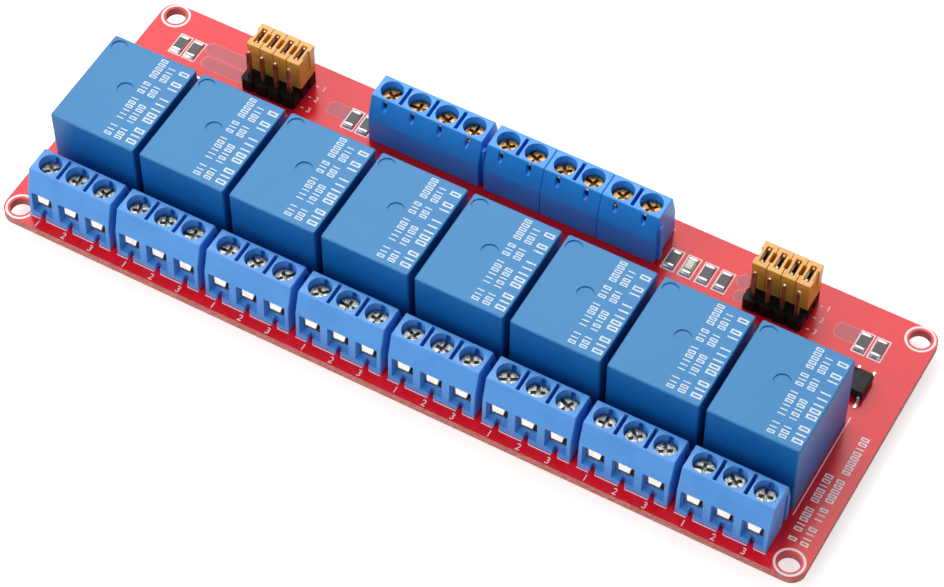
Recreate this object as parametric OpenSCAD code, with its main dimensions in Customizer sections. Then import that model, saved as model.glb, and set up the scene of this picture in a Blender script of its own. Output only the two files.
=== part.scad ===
// Eight-channel relay module board.
// Lengths are in millimetres. The origin is the centre of the four mounting holes, on the
// board's underside. +X runs along the board, +Y from the output terminals to the supply
// terminals, and +Z up through the relays.

/* [Board] */
// Thickness of the board
board_t = 1.6; // [1:0.2:2.4]
// Radius of the board's corners
corner_r = 2.5; // [1:0.25:3]
// Board left over beyond the first relay
margin_left = 4.85; // [4.6:0.05:8]
// Board left over beyond the last relay
margin_right = 6.45; // [5:0.05:12]
// Strip in front of the output terminals
strip_front = 2.15; // [0.5:0.05:5]
// Gap between the output terminals and the relays
gap_terminal = 1.2; // [0.2:0.1:4]
// Strip behind the relays, for the driver parts
strip_driver = 11.9; // [11.6:0.1:20]
// Strip behind the rear terminals
strip_rear = 2.15; // [0.5:0.05:5]
// Distance from a mounting hole to the board's left or right edge
hole_inset_x = 2.8; // [2.4:0.1:3]
// Distance from a mounting hole to the board's front or rear edge
hole_inset_y = 2.5; // [2.2:0.1:3]
// Diameter of a mounting hole
hole_d = 3.5; // [2.2:0.1:3.6]
// How far the cut-off leads stand out below the board
tail_l = 2; // [1:0.1:3]

/* [Relays] */
// Width of a relay case along X
relay_w = 15.5; // [15:0.1:17]
// Length of a relay case along Y
relay_l = 19.1; // [18:0.1:22]
// Height of a relay case above the board
relay_h = 15.6; // [14:0.1:20]
// Gap between neighbouring relays
relay_gap = 1.1; // [0.9:0.1:3]
// Side wall of a relay case
relay_wall = 0.9; // [0.6:0.05:1]
// Roof of a relay case
relay_roof = 1; // [0.6:0.05:1.4]
// Diameter of the round moulding marks on the roof
mark_d = 3; // [1:0.1:4]
// Depth of the moulding marks
mark_depth = 0.15; // [0.05:0.05:0.4]

/* [Screw terminals] */
// Distance between neighbouring ways
way_pitch = 5.08; // [5:0.02:5.3]
// Height of a terminal above the board
term_h = 10; // [9.4:0.1:13]
// Depth from the screw's axis to the foot of the wire side
term_front = 3.85; // [3.7:0.05:5]
// Depth from the screw's axis to the plain back
term_back = 3.7; // [3.2:0.05:5]
// Diameter of a screw well
well_d = 3.8; // [3.7:0.05:4]
// Diameter of a screw's head
screw_head_d = 3.5; // [2.8:0.1:3.5]
// Diameter of a screw's thread
screw_d = 2.5; // [2:0.1:2.5]
// Depth of a screw's head below the top of its well
screw_sink = 1.6; // [0.4:0.1:1.8]
// Width of a wire entry
entry_w = 3.8; // [3.7:0.05:4]
// Top edge of a wire entry above the board
entry_top = 5.6; // [5:0.1:6]
// Thickness of the housing's floor
floor_t = 1.2; // [0.8:0.1:1.6]
// Width of the slot between two ways, in the top
split_w = 0.65; // [0.3:0.05:0.7]
// Smallest gap between neighbouring output terminals
gap_output = 0.8; // [0.7:0.1:3]
// Distance from the third relay's middle to the left end of the supply terminal
supply_shift = 1.15; // [0:0.05:2]
// Gap between the supply terminal and the first control terminal
gap_supply = 1; // [0.8:0.1:2]

/* [Headers and jumpers] */
// Distance between neighbouring header pins
pin_pitch = 2.54; // [2.54:0.01:2.6]
// Side of a square header pin
pin_w = 0.64; // [0.5:0.01:0.66]
// Height of a header's plastic strip
header_h = 2.5; // [1.5:0.1:4]
// Length of a header pin above the plastic strip
pin_up = 6; // [5:0.1:8]
// Distance from the second relay's middle to the middle of the left header
header_left = 3.5; // [3:0.1:5]
// Distance from the last relay but one to the middle of the right header
header_right = 5.8; // [5:0.1:6.3]
// Height of a jumper cap
cap_h = 6.2; // [6:0.1:9]
// Depth of the grip waist in a cap's sides
cap_waist = 0.3; // [0.1:0.05:0.3]

/* [Hidden] */
channels = 8;
output_ways = 3;
supply_ways = 4;
control_ways = 2;
control_blocks = 3;
header_rows = 3;
header_cols = 4;
// side clearance between a metal piece and the moulding or hole that holds it
fit = 0.05;
$fn = 48;

// Lead sections, and the drilled holes that take them.
blade_w = 1;
blade_t = 0.5;
coil_pin_d = 0.7;
term_tail_w = 1;
term_tail_t = 0.8;
blade_hole_d = 1.3;
coil_hole_d = 1;
term_hole_d = 1.45;
header_hole_d = 1.05;
solder_h = 0.9;

// Board outline, worked out from what stands on it. A channel is as wide as its relay or its
// terminal asks for.
block_side = 0.05;
function block_w(ways) = ways * way_pitch + 2 * block_side;
relay_pitch = max(relay_w + relay_gap, block_w(output_ways) + gap_output);
relay_row_l = (channels - 1) * relay_pitch + relay_w;
term_depth = term_front + term_back;
board_l = margin_left + relay_row_l + margin_right;
board_w = strip_front + term_depth + gap_terminal + relay_l + strip_driver + term_depth + strip_rear;
hole_x = board_l / 2 - hole_inset_x;
hole_y = board_w / 2 - hole_inset_y;
output_y = -board_w / 2 + strip_front + term_front;
relay_y = output_y + term_back + gap_terminal + relay_l / 2;
relay_rear = relay_y + relay_l / 2;
rear_y = board_w / 2 - strip_rear - term_front;
function relay_x(i) = -board_l / 2 + margin_left + relay_w / 2 + i * relay_pitch;

// Relay leads, from the middle of the case.
lead_dx = relay_w / 2 - 1.75;
com_dy = relay_l / 2 - 2.55;
coil_dy = com_dy - 2;
contact_dy = -relay_l / 2 + 2.35;
coil_cy = (com_dy + contact_dy) / 2;

// Relay insides, upwards from the board.
base_z = 0.4;
base_t = 1.5;
yoke_t = 1;
yoke_w = 6.4;
former_r = 2.2;
core_r = 1.55;
flange_r = 4.6;
flange_t = 0.8;
wire_r = 4.3;
armature_t = 0.8;
spring_t = 0.2;
spring_w = 3.8;
button_r = 1.1;
button_h = 0.95;
arm_t = 0.5;
arm_w = 1.6;
contact_gap = 0.4;
relay_head = 3.9;
yoke_z = base_z + base_t + fit;
deck_z = yoke_z + yoke_t + fit + flange_t;
yoke_top = relay_h - relay_roof - relay_head;
former_top = yoke_top - 0.6;
armature_z = yoke_top + fit;
spring_z = armature_z + armature_t;
button_z = spring_z + (spring_t - button_h) / 2;

// Terminal insides, upwards from the board and out from the screw's axis.
wall_lean = 0.25;
top_front = 2.35;
top_back = 2.3;
shoulder_z = term_h - 4.7;
frame_w = entry_w - 0.2;
frame_front = 2.4;
frame_back = 2.2;
frame_t = 0.55;
frame_roof_t = 0.9;
frame_top = entry_top + 0.6;
guard_t = 0.35;
guard_out = 0.55;
guard_lean = 0.4;
guard_w = frame_w - 2 * frame_t - 2 * fit;
guard_tip_w = 1.8;
guard_z = entry_top - 2;
screw_head_h = 1.5;
split_depth = 3;
key_w = 1;
key_out = 0.6;
key_y = 1.6;
key_top = 8;

// A terminal block is [x, y, turn, number of ways].
supply_left = relay_x(2) - supply_shift;
supply_x = supply_left + block_w(supply_ways) / 2;
control_pitch = block_w(control_ways) + fit;
control_left = supply_left + block_w(supply_ways) + gap_supply;
function control_x(k) = control_left + block_w(control_ways) / 2 + k * control_pitch;
output_blocks = [for (i = [0 : channels - 1]) [relay_x(i), output_y, 0, output_ways]];
rear_blocks = [
    [supply_x, rear_y, 180, supply_ways],
    for (k = [0 : control_blocks - 1]) [control_x(k), rear_y, 180, control_ways]
];
function way_x(w, ways) = (w - (ways - 1) / 2) * way_pitch;

// Header pins: row 0 is the row nearest the relays.
header_y = rear_y - 0.76;
header_xs = [relay_x(1) - header_left, relay_x(channels - 2) + header_right];
function pin_x(c) = (c - (header_cols - 1) / 2) * pin_pitch;
function pin_y(r) = (r - (header_rows - 1) / 2) * pin_pitch;
header_notch = 0.4;
cap_side = 0.1;
cap_w = pin_pitch - cap_side;
cap_l = 2 * pin_pitch - cap_side;
cap_roof = 0.9;
cap_rim = 1;
cap_step = 0.15;
clip_t = 0.2;

// Surface-mounted parts: body length along Y, width along X, and height.
chip_l = 3.2;
chip_w = 1.6;
chip_h = 0.55;
chip_end = 0.5;
lamp_h = 0.8;
opto_l = 4.4;
opto_w = 3.6;
opto_h = 2;
opto_span = 7.6;
opto_pitch = 2.54;
transistor_l = 1.3;
transistor_w = 2.9;
transistor_h = 1;
transistor_span = 2.5;
transistor_pitch = 1.9;
diode_l = 4.3;
diode_w = 2.6;
diode_h = 2.1;
diode_span = 5.1;
diode_lead_w = 1.5;
lead_w = 0.4;
lead_t = 0.15;
knee = 0.25;
stand_off = 0.1;

// Their rows, and their places along each row.
driver_row = 3.1;
opto_row = 6.1;
lamp_row = 7.7;
load_ahead = 0.4;
printed_y = header_y - 0.74;
driver_y = relay_rear + driver_row;
opto_y = relay_rear + opto_row;
lamp_row_y = relay_rear + lamp_row;
chip_step = 2.7;
chip_step_wide = 3;
printed_in = 5.7;
first_printed_x = relay_x(0) - printed_in;
supply_printed_x = supply_left - 1.65;
control_printed_x = control_x(control_blocks - 1) + block_w(control_ways) / 2 + 2.4;
last_printed_x = relay_x(channels - 1) + 3.9;
// Each driver part stands beside the one before it, starting from the optocoupler.
opto_dx = relay_w / 2 - 1.15;
load_gap = 0.4;
load_dx = opto_dx - opto_w / 2 - load_gap - chip_w / 2;
transistor_gap = 0.35;
transistor_dx = load_dx - chip_w / 2 - transistor_gap - transistor_w / 2;
diode_gap = 1.2;
diode_dx = transistor_dx - transistor_w / 2 - diode_gap - diode_span / 2;
// The lamp stands between its resistor and the input resistor.
lamp_gap = 1.7;
lamp_resistor_dx = transistor_dx - 0.4;
lamp_dx = lamp_resistor_dx - chip_w - lamp_gap;
input_resistor_dx = lamp_dx - chip_w - lamp_gap + 0.1;
function in_channels(dx, y) = [for (i = [0 : channels - 1]) [relay_x(i) + dx, y]];
resistors = concat(
    [for (n = [0, 1]) [first_printed_x + n * chip_step, printed_y]],
    [for (n = [-1, 0]) [supply_printed_x + n * chip_step, printed_y]],
    [for (n = [0, 2, 3]) [control_printed_x + n * chip_step_wide, printed_y]],
    [for (n = [0, 1]) [last_printed_x + n * chip_step, printed_y]],
    in_channels(input_resistor_dx, lamp_row_y),
    in_channels(lamp_resistor_dx, lamp_row_y),
    in_channels(load_dx, driver_y + load_ahead)
);
lamps = concat([[control_printed_x + chip_step_wide, printed_y]], in_channels(lamp_dx, lamp_row_y));
optos = in_channels(opto_dx, opto_y);
transistors = in_channels(transistor_dx, driver_y);
diodes = in_channels(diode_dx, driver_y);

// Where leads go through the board.
blade_leads = [
    for (i = [0 : channels - 1], d = [[0, com_dy], [-lead_dx, contact_dy], [lead_dx, contact_dy]])
        [relay_x(i) + d[0], relay_y + d[1]]
];
coil_leads = [
    for (i = [0 : channels - 1], side = [-1, 1]) [relay_x(i) + side * lead_dx, relay_y + coil_dy]
];
terminal_leads = [
    for (b = concat(output_blocks, rear_blocks), w = [0 : b[3] - 1]) [b[0] + way_x(w, b[3]), b[1]]
];
header_leads = [
    for (x = header_xs, c = [0 : header_cols - 1], r = [0 : header_rows - 1])
        [x + pin_x(c), header_y + pin_y(r)]
];

function numbered(name, count) = [for (i = [1 : count]) str(name, "_", i)];
relay_nodes = numbered("relay_case", channels);
output_nodes = numbered("output_terminal", channels);
control_nodes = numbered("control_terminal", control_blocks);
cap_nodes = numbered("jumper_cap", len(header_xs) * header_cols);

// ---------- helpers ----------

module rounded_rectangle(l, w, r) {
    square([l - 2 * r, w], center = true);
    square([l, w - 2 * r], center = true);
    for (x = [-1, 1], y = [-1, 1])
        translate([x * (l / 2 - r), y * (w / 2 - r)]) circle(r);
}

// A box from its lowest corner to its highest corner.
module box(low, high) {
    translate(low) cube(high - low);
}

// Extrudes an outline drawn in the YZ plane along X, centred on X.
module along_x(width) {
    translate([-width / 2, 0, 0]) rotate([90, 0, 90]) linear_extrude(width) children();
}

module at_each(places, z = board_t) {
    for (p = places) translate([p[0], p[1], z]) children();
}

module at_relays() {
    for (i = [0 : channels - 1]) translate([relay_x(i), relay_y, board_t]) children();
}

module at_block(b) {
    translate([b[0], b[1], board_t]) rotate(b[2]) children();
}

module at_ways(blocks) {
    for (b = blocks) at_block(b)
        for (w = [0 : b[3] - 1]) translate([way_x(w, b[3]), 0, 0]) children();
}

// ---------- board ----------

module circuit_board() {
    color("firebrick") linear_extrude(board_t) difference() {
        rounded_rectangle(board_l, board_w, corner_r);
        for (x = [-hole_x, hole_x], y = [-hole_y, hole_y]) translate([x, y]) circle(d = hole_d);
        for (p = blade_leads) translate(p) circle(d = blade_hole_d);
        for (p = coil_leads) translate(p) circle(d = coil_hole_d);
        for (p = terminal_leads) translate(p) circle(d = term_hole_d);
        for (p = header_leads) translate(p) circle(d = header_hole_d);
    }
}

module joint(hole_d, hole = [0, 0]) {
    difference() {
        translate([0, 0, -solder_h]) cylinder(h = solder_h, r1 = hole_d * 0.42, r2 = hole_d * 0.8);
        translate([0, 0, -solder_h / 2]) {
            if (hole[0] == 0) cylinder(h = solder_h + 2, d = coil_pin_d + 2 * fit, center = true);
            else cube([hole[0] + 2 * fit, hole[1] + 2 * fit, solder_h + 2], center = true);
        }
    }
}

module solder_joints() {
    color("silver") {
        at_each(blade_leads, 0) joint(blade_hole_d, [blade_w, blade_t]);
        at_each(coil_leads, 0) joint(coil_hole_d);
        at_each(terminal_leads, 0) joint(term_hole_d, [term_tail_w, term_tail_t]);
        at_each(header_leads, 0) joint(header_hole_d, [pin_w, pin_w]);
    }
}

// ---------- relays ----------

module relay_case(i) {
    inner_w = relay_w - 2 * relay_wall;
    inner_l = relay_l - 2 * relay_wall;
    color("royalblue") translate([relay_x(i), relay_y, board_t]) difference() {
        linear_extrude(relay_h) rounded_rectangle(relay_w, relay_l, 0.4);
        translate([-inner_w / 2, -inner_l / 2, -1]) cube([inner_w, inner_l, relay_h - relay_roof + 1]);
        for (mark = [[-relay_w / 2 + 1.9, relay_l / 2 - 1.9], [-0.2, 0.7]])
            translate([mark[0], mark[1], relay_h - mark_depth]) cylinder(h = 1, d = mark_d);
    }
}

// Base moulding and coil former in one piece, with a tunnel for the yoke's lower leg.
module relay_base() {
    plate_w = relay_w - 2 * relay_wall - 2 * fit;
    plate_l = relay_l - 2 * relay_wall - 2 * fit;
    deck = [[-plate_w / 2, coil_cy - flange_r, base_z], [plate_w / 2, coil_dy + 0.9, deck_z]];
    tunnel_front = coil_cy - former_r - fit;
    difference() {
        union() {
            translate([-plate_w / 2, -plate_l / 2, base_z]) cube([plate_w, plate_l, base_t]);
            box(deck[0], deck[1]);
            translate([0, coil_cy, deck_z - fit]) cylinder(h = former_top - deck_z + fit, r = former_r);
            translate([0, coil_cy, former_top - flange_t]) cylinder(h = flange_t, r = flange_r);
        }
        translate([0, coil_cy, yoke_z]) cylinder(h = relay_h, r = core_r + fit);
        box([-yoke_w / 2 - fit, tunnel_front, base_z + base_t],
            [yoke_w / 2 + fit, relay_l, yoke_z + yoke_t + fit]);
        for (x = [-1, 1]) {
            translate([x * lead_dx, coil_dy, 0]) cylinder(h = relay_h, d = coil_pin_d + 2 * fit);
            translate([x * lead_dx, contact_dy, 0]) blade_slot();
        }
        translate([0, com_dy, 0]) blade_slot();
    }
}

module blade_slot() {
    cube([blade_w + 2 * fit, blade_t + 2 * fit, 3 * (base_z + base_t)], center = true);
}

module relay_bases() {
    color("midnightblue") at_relays() relay_base();
}

module relay_coils() {
    winding_z = deck_z + fit;
    winding_h = former_top - flange_t - fit - winding_z;
    color("chocolate") at_relays() translate([0, coil_cy, winding_z]) difference() {
        cylinder(h = winding_h, r = wire_r);
        translate([0, 0, -1]) cylinder(h = winding_h + 2, r = former_r + fit);
    }
}

// L-shaped yoke with its common lead, and the riveted core.
module relay_yoke() {
    leg_front = coil_cy - former_r;
    leg_back = com_dy + yoke_t / 2;
    lead_z = -board_t - tail_l;
    box([-yoke_w / 2, leg_front, yoke_z], [yoke_w / 2, leg_back, yoke_z + yoke_t]);
    box([-yoke_w / 2, leg_back - yoke_t, yoke_z], [yoke_w / 2, leg_back, yoke_top]);
    box([-blade_w / 2, com_dy - blade_t / 2, lead_z], [blade_w / 2, com_dy + blade_t / 2, yoke_z + yoke_t]);
    translate([0, coil_cy, yoke_z]) cylinder(h = yoke_top - 0.25 - yoke_z, r = core_r);
}

module relay_yokes() {
    color("darkgray") at_relays() relay_yoke();
}

// Armature plate with the contact spring riveted on it, and the moving contact.
module relay_armature() {
    back = com_dy + yoke_t / 2;
    box([-yoke_w / 2, coil_cy - wire_r, armature_z], [yoke_w / 2, back, spring_z]);
    box([-spring_w / 2, contact_dy - button_r, spring_z], [spring_w / 2, back - 1, spring_z + spring_t]);
    translate([0, contact_dy, button_z]) cylinder(h = button_h, r = button_r);
}

module relay_armatures() {
    color("goldenrod") at_relays() relay_armature();
}

// A fixed contact: lead, upright, arm and button. side -1 is the lower, open contact.
module fixed_contact(side) {
    button = side < 0 ? button_z - contact_gap : button_z + button_h + fit;
    arm_z = side < 0 ? button - button_h / 2 - arm_t / 2 : button + button_h / 2 - arm_t / 2;
    lead_z = -board_t - tail_l;
    x0 = side * lead_dx;
    box([x0 - blade_w / 2, contact_dy - blade_t / 2, lead_z],
        [x0 + blade_w / 2, contact_dy + blade_t / 2, arm_z + arm_t]);
    box([min(x0 - blade_w / 2, -button_r), contact_dy - arm_w / 2, arm_z],
        [max(x0 + blade_w / 2, button_r), contact_dy + arm_w / 2, arm_z + arm_t]);
    translate([0, contact_dy, side < 0 ? arm_z : button])
        cylinder(h = side < 0 ? button - arm_z : arm_z - button + arm_t, r = arm_w / 2);
}

module relay_contacts() {
    color("darkkhaki") at_relays() for (side = [-1, 1]) fixed_contact(side);
}

module relay_coil_pins() {
    lead_z = -board_t - tail_l;
    color("silver") at_relays() for (x = [-1, 1])
        translate([x * lead_dx, coil_dy, lead_z]) cylinder(h = deck_z + 0.6 - lead_z, d = coil_pin_d);
}

// ---------- screw terminals ----------

// Section across the block: foot, wire side, top, shoulder and plain back.
module terminal_section() {
    polygon([
        [-term_front, 0],
        [-term_front + wall_lean, entry_top],
        [-top_front, term_h],
        [top_back, term_h],
        [term_back, shoulder_z],
        [term_back, 0]
    ]);
}

// A slot with round ends, drawn upright.
module oval(w, h) {
    square([w, h - w], center = true);
    for (y = [-1, 1]) translate([0, y * (h - w) / 2]) circle(d = w);
}

module way_cavity() {
    inside = frame_w / 2 + fit;
    box([-entry_w / 2, -2 * term_front, floor_t], [entry_w / 2, -frame_front - fit, entry_top]);
    box([-inside, -frame_front - 2 * fit, floor_t], [inside, frame_back + fit, frame_top + fit]);
    translate([0, 0, frame_top - fit]) cylinder(h = term_h, d = well_d);
    box([-0.45, -2 * term_front, -1], [0.45, -frame_front - 0.3, floor_t + 1]);
    translate([0, 0, floor_t / 2])
        cube([term_tail_w + 2 * fit, term_tail_t + 2 * fit, 2 * floor_t], center = true);
    translate([0, well_d / 4, term_h - 1.4]) rotate([-90, 0, 0]) linear_extrude(term_back) oval(0.9, 2.2);
}

// split_y is where the slots between the ways start and end along Y.
module terminal_housing(b, split_y) {
    ways = b[3];
    w = block_w(ways);
    side = b[2] == 0 ? 1 : -1;
    key_back = key_y + key_w;
    key_in = key_out + 2 * fit;
    difference() {
        union() {
            along_x(w) terminal_section();
            translate([-side * (w + key_out) / 2, 0, 0])
                box([-key_out / 2 - fit, key_y, 0], [key_out / 2 + fit, key_back, key_top]);
        }
        translate([side * (w - key_in) / 2, 0, 0])
            box([-key_in / 2 - fit, key_y - fit, -1], [key_in / 2 + fit, key_back + fit, key_top + fit]);
        for (k = [0 : ways - 1]) translate([way_x(k, ways), 0, 0]) way_cavity();
        for (k = [1 : ways - 1]) translate([way_x(k, ways) - way_pitch / 2, 0, 0])
            box([-split_w / 2, split_y[0], term_h - split_depth], [split_w / 2, split_y[1], term_h + 1]);
    }
}

module output_terminal(i) {
    color("cornflowerblue") at_block(output_blocks[i]) terminal_housing(output_blocks[i], [-2.05, 2.05]);
}

module rear_terminal(k) {
    color("dodgerblue") at_block(rear_blocks[k]) terminal_housing(rear_blocks[k], [-1.9, 2]);
}

// Sheet-metal frame with the screw's thread in its roof and the solder tail below.
module clamp_frame() {
    inside = frame_w / 2 - frame_t;
    difference() {
        box([-frame_w / 2, -frame_front, floor_t], [frame_w / 2, frame_back, frame_top]);
        box([-inside, -term_front, floor_t + frame_t], [inside, term_back, frame_top - frame_roof_t]);
        cylinder(h = term_h, d = screw_d + 2 * fit);
    }
    box([-term_tail_w / 2, -term_tail_t / 2, -board_t - tail_l],
        [term_tail_w / 2, term_tail_t / 2, floor_t + fit]);
}

// Bent strip under the screw that presses the wire down. Its tongue closes the top of the entry.
module wire_guard() {
    roof = frame_top - frame_roof_t;
    shoulder = -frame_front - guard_out;
    elbow = shoulder - guard_lean;
    wide = guard_w / 2;
    tip = guard_tip_w / 2;
    intersection() {
        along_x(guard_w) polygon([
            [shoulder, roof],
            [-screw_d / 2 - 0.2, roof],
            [-screw_d / 2 - 0.2, roof - guard_t],
            [shoulder + guard_t, roof - guard_t],
            [elbow + guard_t, guard_z + guard_t],
            [frame_back - 0.6, guard_z + guard_t],
            [frame_back - 0.6, guard_z],
            [elbow, guard_z]
        ]);
        translate([0, term_back, 0]) rotate([90, 0, 0]) linear_extrude(term_depth)
            polygon([[-tip, guard_z], [tip, guard_z], [wide, roof], [-wide, roof]]);
    }
}

module clamp_screw() {
    head_z = term_h - screw_sink - screw_head_h;
    tip_z = guard_z + guard_t + fit;
    slot_w = 0.6;
    difference() {
        union() {
            translate([0, 0, tip_z]) cylinder(h = head_z - tip_z + fit, d = screw_d);
            translate([0, 0, head_z]) cylinder(h = screw_head_h, d = screw_head_d);
        }
        for (a = [0, 90]) rotate(a + 20) translate([0, 0, head_z + screw_head_h])
            cube([a == 0 ? screw_head_d + 1 : screw_head_d * 0.6, slot_w, 1.4], center = true);
    }
}

module output_clamps() {
    color("gainsboro") at_ways(output_blocks) clamp_frame();
}

module output_guards() {
    color("whitesmoke") at_ways(output_blocks) wire_guard();
}

module output_screws() {
    color("silver") at_ways(output_blocks) clamp_screw();
}

module rear_clamps() {
    color("gainsboro") at_ways(rear_blocks) clamp_frame();
}

module rear_guards() {
    color("whitesmoke") at_ways(rear_blocks) wire_guard();
}

module rear_screws() {
    color("darkgoldenrod") at_ways(rear_blocks) clamp_screw();
}

// ---------- headers and jumper caps ----------

// Notch between two neighbouring pins of a strip, also its cut-off corner.
module strip_notch() {
    rotate(45) square(header_notch * sqrt(2), center = true);
}

module header_strip(x) {
    l = header_cols * pin_pitch;
    w = header_rows * pin_pitch;
    color("dimgray") translate([x, header_y, board_t]) linear_extrude(header_h) difference() {
        square([l, w], center = true);
        for (c = [0 : header_cols], y = [-w / 2, w / 2])
            translate([(c - header_cols / 2) * pin_pitch, y]) strip_notch();
        for (r = [1 : header_rows - 1], x = [-l / 2, l / 2])
            translate([x, (r - header_rows / 2) * pin_pitch]) strip_notch();
        for (c = [0 : header_cols - 1], r = [0 : header_rows - 1])
            translate([pin_x(c), pin_y(r)]) square(pin_w + 2 * fit, center = true);
    }
}

// Square pin with a bevelled tip, seen from two sides at once.
module header_pin() {
    low = -board_t - tail_l + 0.3;
    high = header_h + pin_up;
    tip = 0.5;
    half = pin_w / 2;
    intersection_for (a = [0, 90]) rotate([90, 0, a]) translate([0, 0, -pin_w]) linear_extrude(2 * pin_w)
        polygon([
            [-half, low],
            [half, low],
            [half, high - tip],
            [half / 2, high],
            [-half / 2, high],
            [-half, high - tip]
        ]);
}

module header_pins() {
    color("gold") at_each(header_leads) header_pin();
}

// A cap sits on the two rear rows of one column.
function cap_place(i) = [
    header_xs[floor(i / header_cols)] + pin_x(i % header_cols),
    header_y + (pin_y(header_rows - 2) + pin_y(header_rows - 1)) / 2
];

clip_half = pin_w / 2 + fit;
clip_end = pin_pitch / 2 + clip_half;
pocket_w = 2 * (clip_half + clip_t + fit);
pocket_l = 2 * (clip_end + clip_t + fit);

module jumper_cap(i) {
    inner_h = cap_h - cap_roof;
    color("goldenrod") at_each([cap_place(i)], board_t + header_h) difference() {
        translate([-cap_w / 2, -cap_l / 2, 0]) cube([cap_w, cap_l, cap_h]);
        translate([-pocket_w / 2, -pocket_l / 2, -1]) cube([pocket_w, pocket_l, inner_h + 1]);
        translate([-0.5, -clip_end, 0]) cube([1, 2 * clip_end, cap_h + 1]);
        for (x = [-1, 1]) translate([x * cap_w / 2, 0, cap_h / 2 + 1.8])
            cube([2 * cap_waist, 2, cap_h], center = true);
        for (y = [-1, 1]) translate([0, y * cap_l / 2, (cap_h - cap_rim) / 2 - 1])
            cube([cap_w + 1, 2 * cap_step, cap_h - cap_rim + 2], center = true);
    }
}

// Folded channel that bridges the two pins inside a cap.
module jumper_clip() {
    translate([0, 0, 0.6]) linear_extrude(cap_h - cap_roof - 0.6 - fit) difference() {
        translate([-clip_half - clip_t, -clip_end - clip_t])
            square([2 * clip_half + clip_t, 2 * (clip_end + clip_t)]);
        translate([-clip_half, -clip_end]) square([2 * clip_half + 1, 2 * clip_end]);
    }
}

module jumper_clips() {
    places = [for (i = [0 : len(cap_nodes) - 1]) cap_place(i)];
    color("silver") at_each(places, board_t + header_h) jumper_clip();
}

// ---------- surface-mounted parts ----------

// Moulded body, turned so that its leads leave along Y.
module moulded_body(l, w, h) {
    translate([-w / 2, -l / 2, stand_off]) cube([w, l, h]);
}

// Gull-wing lead on the +Y side: out of the body, down and out to the foot.
module gull_lead(body_l, z, span, w) {
    bend = body_l / 2 + knee;
    along_x(w) polygon([
        [body_l / 2, z],
        [bend, z],
        [bend, 0],
        [span / 2, 0],
        [span / 2, lead_t],
        [bend + lead_t, lead_t],
        [bend + lead_t, z + lead_t],
        [body_l / 2, z + lead_t]
    ]);
}

module optocoupler_bodies() {
    color("black") at_each(optos) moulded_body(opto_l, opto_w, opto_h);
}

module optocoupler_leads() {
    color("silver") at_each(optos) for (turn = [0, 180], side = [-1, 1])
        rotate(turn) translate([side * opto_pitch / 2, 0, 0])
            gull_lead(opto_l, opto_h / 2, opto_span, lead_w);
}

module transistor_bodies() {
    color("black") at_each(transistors) moulded_body(transistor_l, transistor_w, transistor_h);
}

module transistor_leads() {
    color("silver") at_each(transistors) {
        gull_lead(transistor_l, transistor_h / 2, transistor_span, lead_w);
        for (side = [-1, 1]) rotate(180) translate([side * transistor_pitch / 2, 0, 0])
            gull_lead(transistor_l, transistor_h / 2, transistor_span, lead_w);
    }
}

// Diodes lie along X.
module diode_bodies() {
    color("black") at_each(diodes) rotate(90) moulded_body(diode_l, diode_w, diode_h);
}

module diode_leads() {
    color("silver") at_each(diodes) for (turn = [-90, 90])
        rotate(turn) gull_lead(diode_l, diode_h / 2, diode_span, diode_lead_w);
}

module chip_body(h) {
    core = chip_l - 2 * chip_end;
    translate([-chip_w / 2, -core / 2, 0]) cube([chip_w, core, h]);
}

module chip_ends() {
    for (y = [-1, 1]) translate([0, y * (chip_l - chip_end) / 2, chip_h / 2])
        cube([chip_w, chip_end, chip_h], center = true);
}

module resistor_bodies() {
    color("black") at_each(resistors) chip_body(chip_h);
}

module resistor_ends() {
    color("silver") at_each(resistors) chip_ends();
}

module lamp_bodies() {
    color("honeydew") at_each(lamps) chip_body(lamp_h);
}

module lamp_ends() {
    color("silver") at_each(lamps) chip_ends();
}

// ---------- nodes ----------

circuit_board();
for (i = [0 : channels - 1]) relay_case(i);
relay_bases();
relay_coils();
relay_yokes();
relay_armatures();
relay_contacts();
relay_coil_pins();
for (i = [0 : channels - 1]) output_terminal(i);
output_clamps();
output_guards();
output_screws();
rear_terminal(0);  // supply_terminal
for (k = [0 : control_blocks - 1]) rear_terminal(k + 1);
rear_clamps();
rear_guards();
rear_screws();
header_strip(header_xs[0]);  // header_left
header_strip(header_xs[1]);  // header_right
header_pins();
for (i = [0 : len(cap_nodes) - 1]) jumper_cap(i);
jumper_clips();
solder_joints();
optocoupler_bodies();
optocoupler_leads();
transistor_bodies();
transistor_leads();
diode_bodies();
diode_leads();
resistor_bodies();
resistor_ends();
lamp_bodies();
lamp_ends();
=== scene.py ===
"""Looks of an eight-channel relay module board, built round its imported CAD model.

The frame is in metres. Sizes below are in millimetres, and are multiplied by MM where they are
used. A piece is modelled at the origin, with the board's top face at z = 0, and its copies are
then carried to their places, which come from the boxes of the CAD nodes.
"""

import math
import random

import bpy
from mathutils import Matrix, Vector


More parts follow.
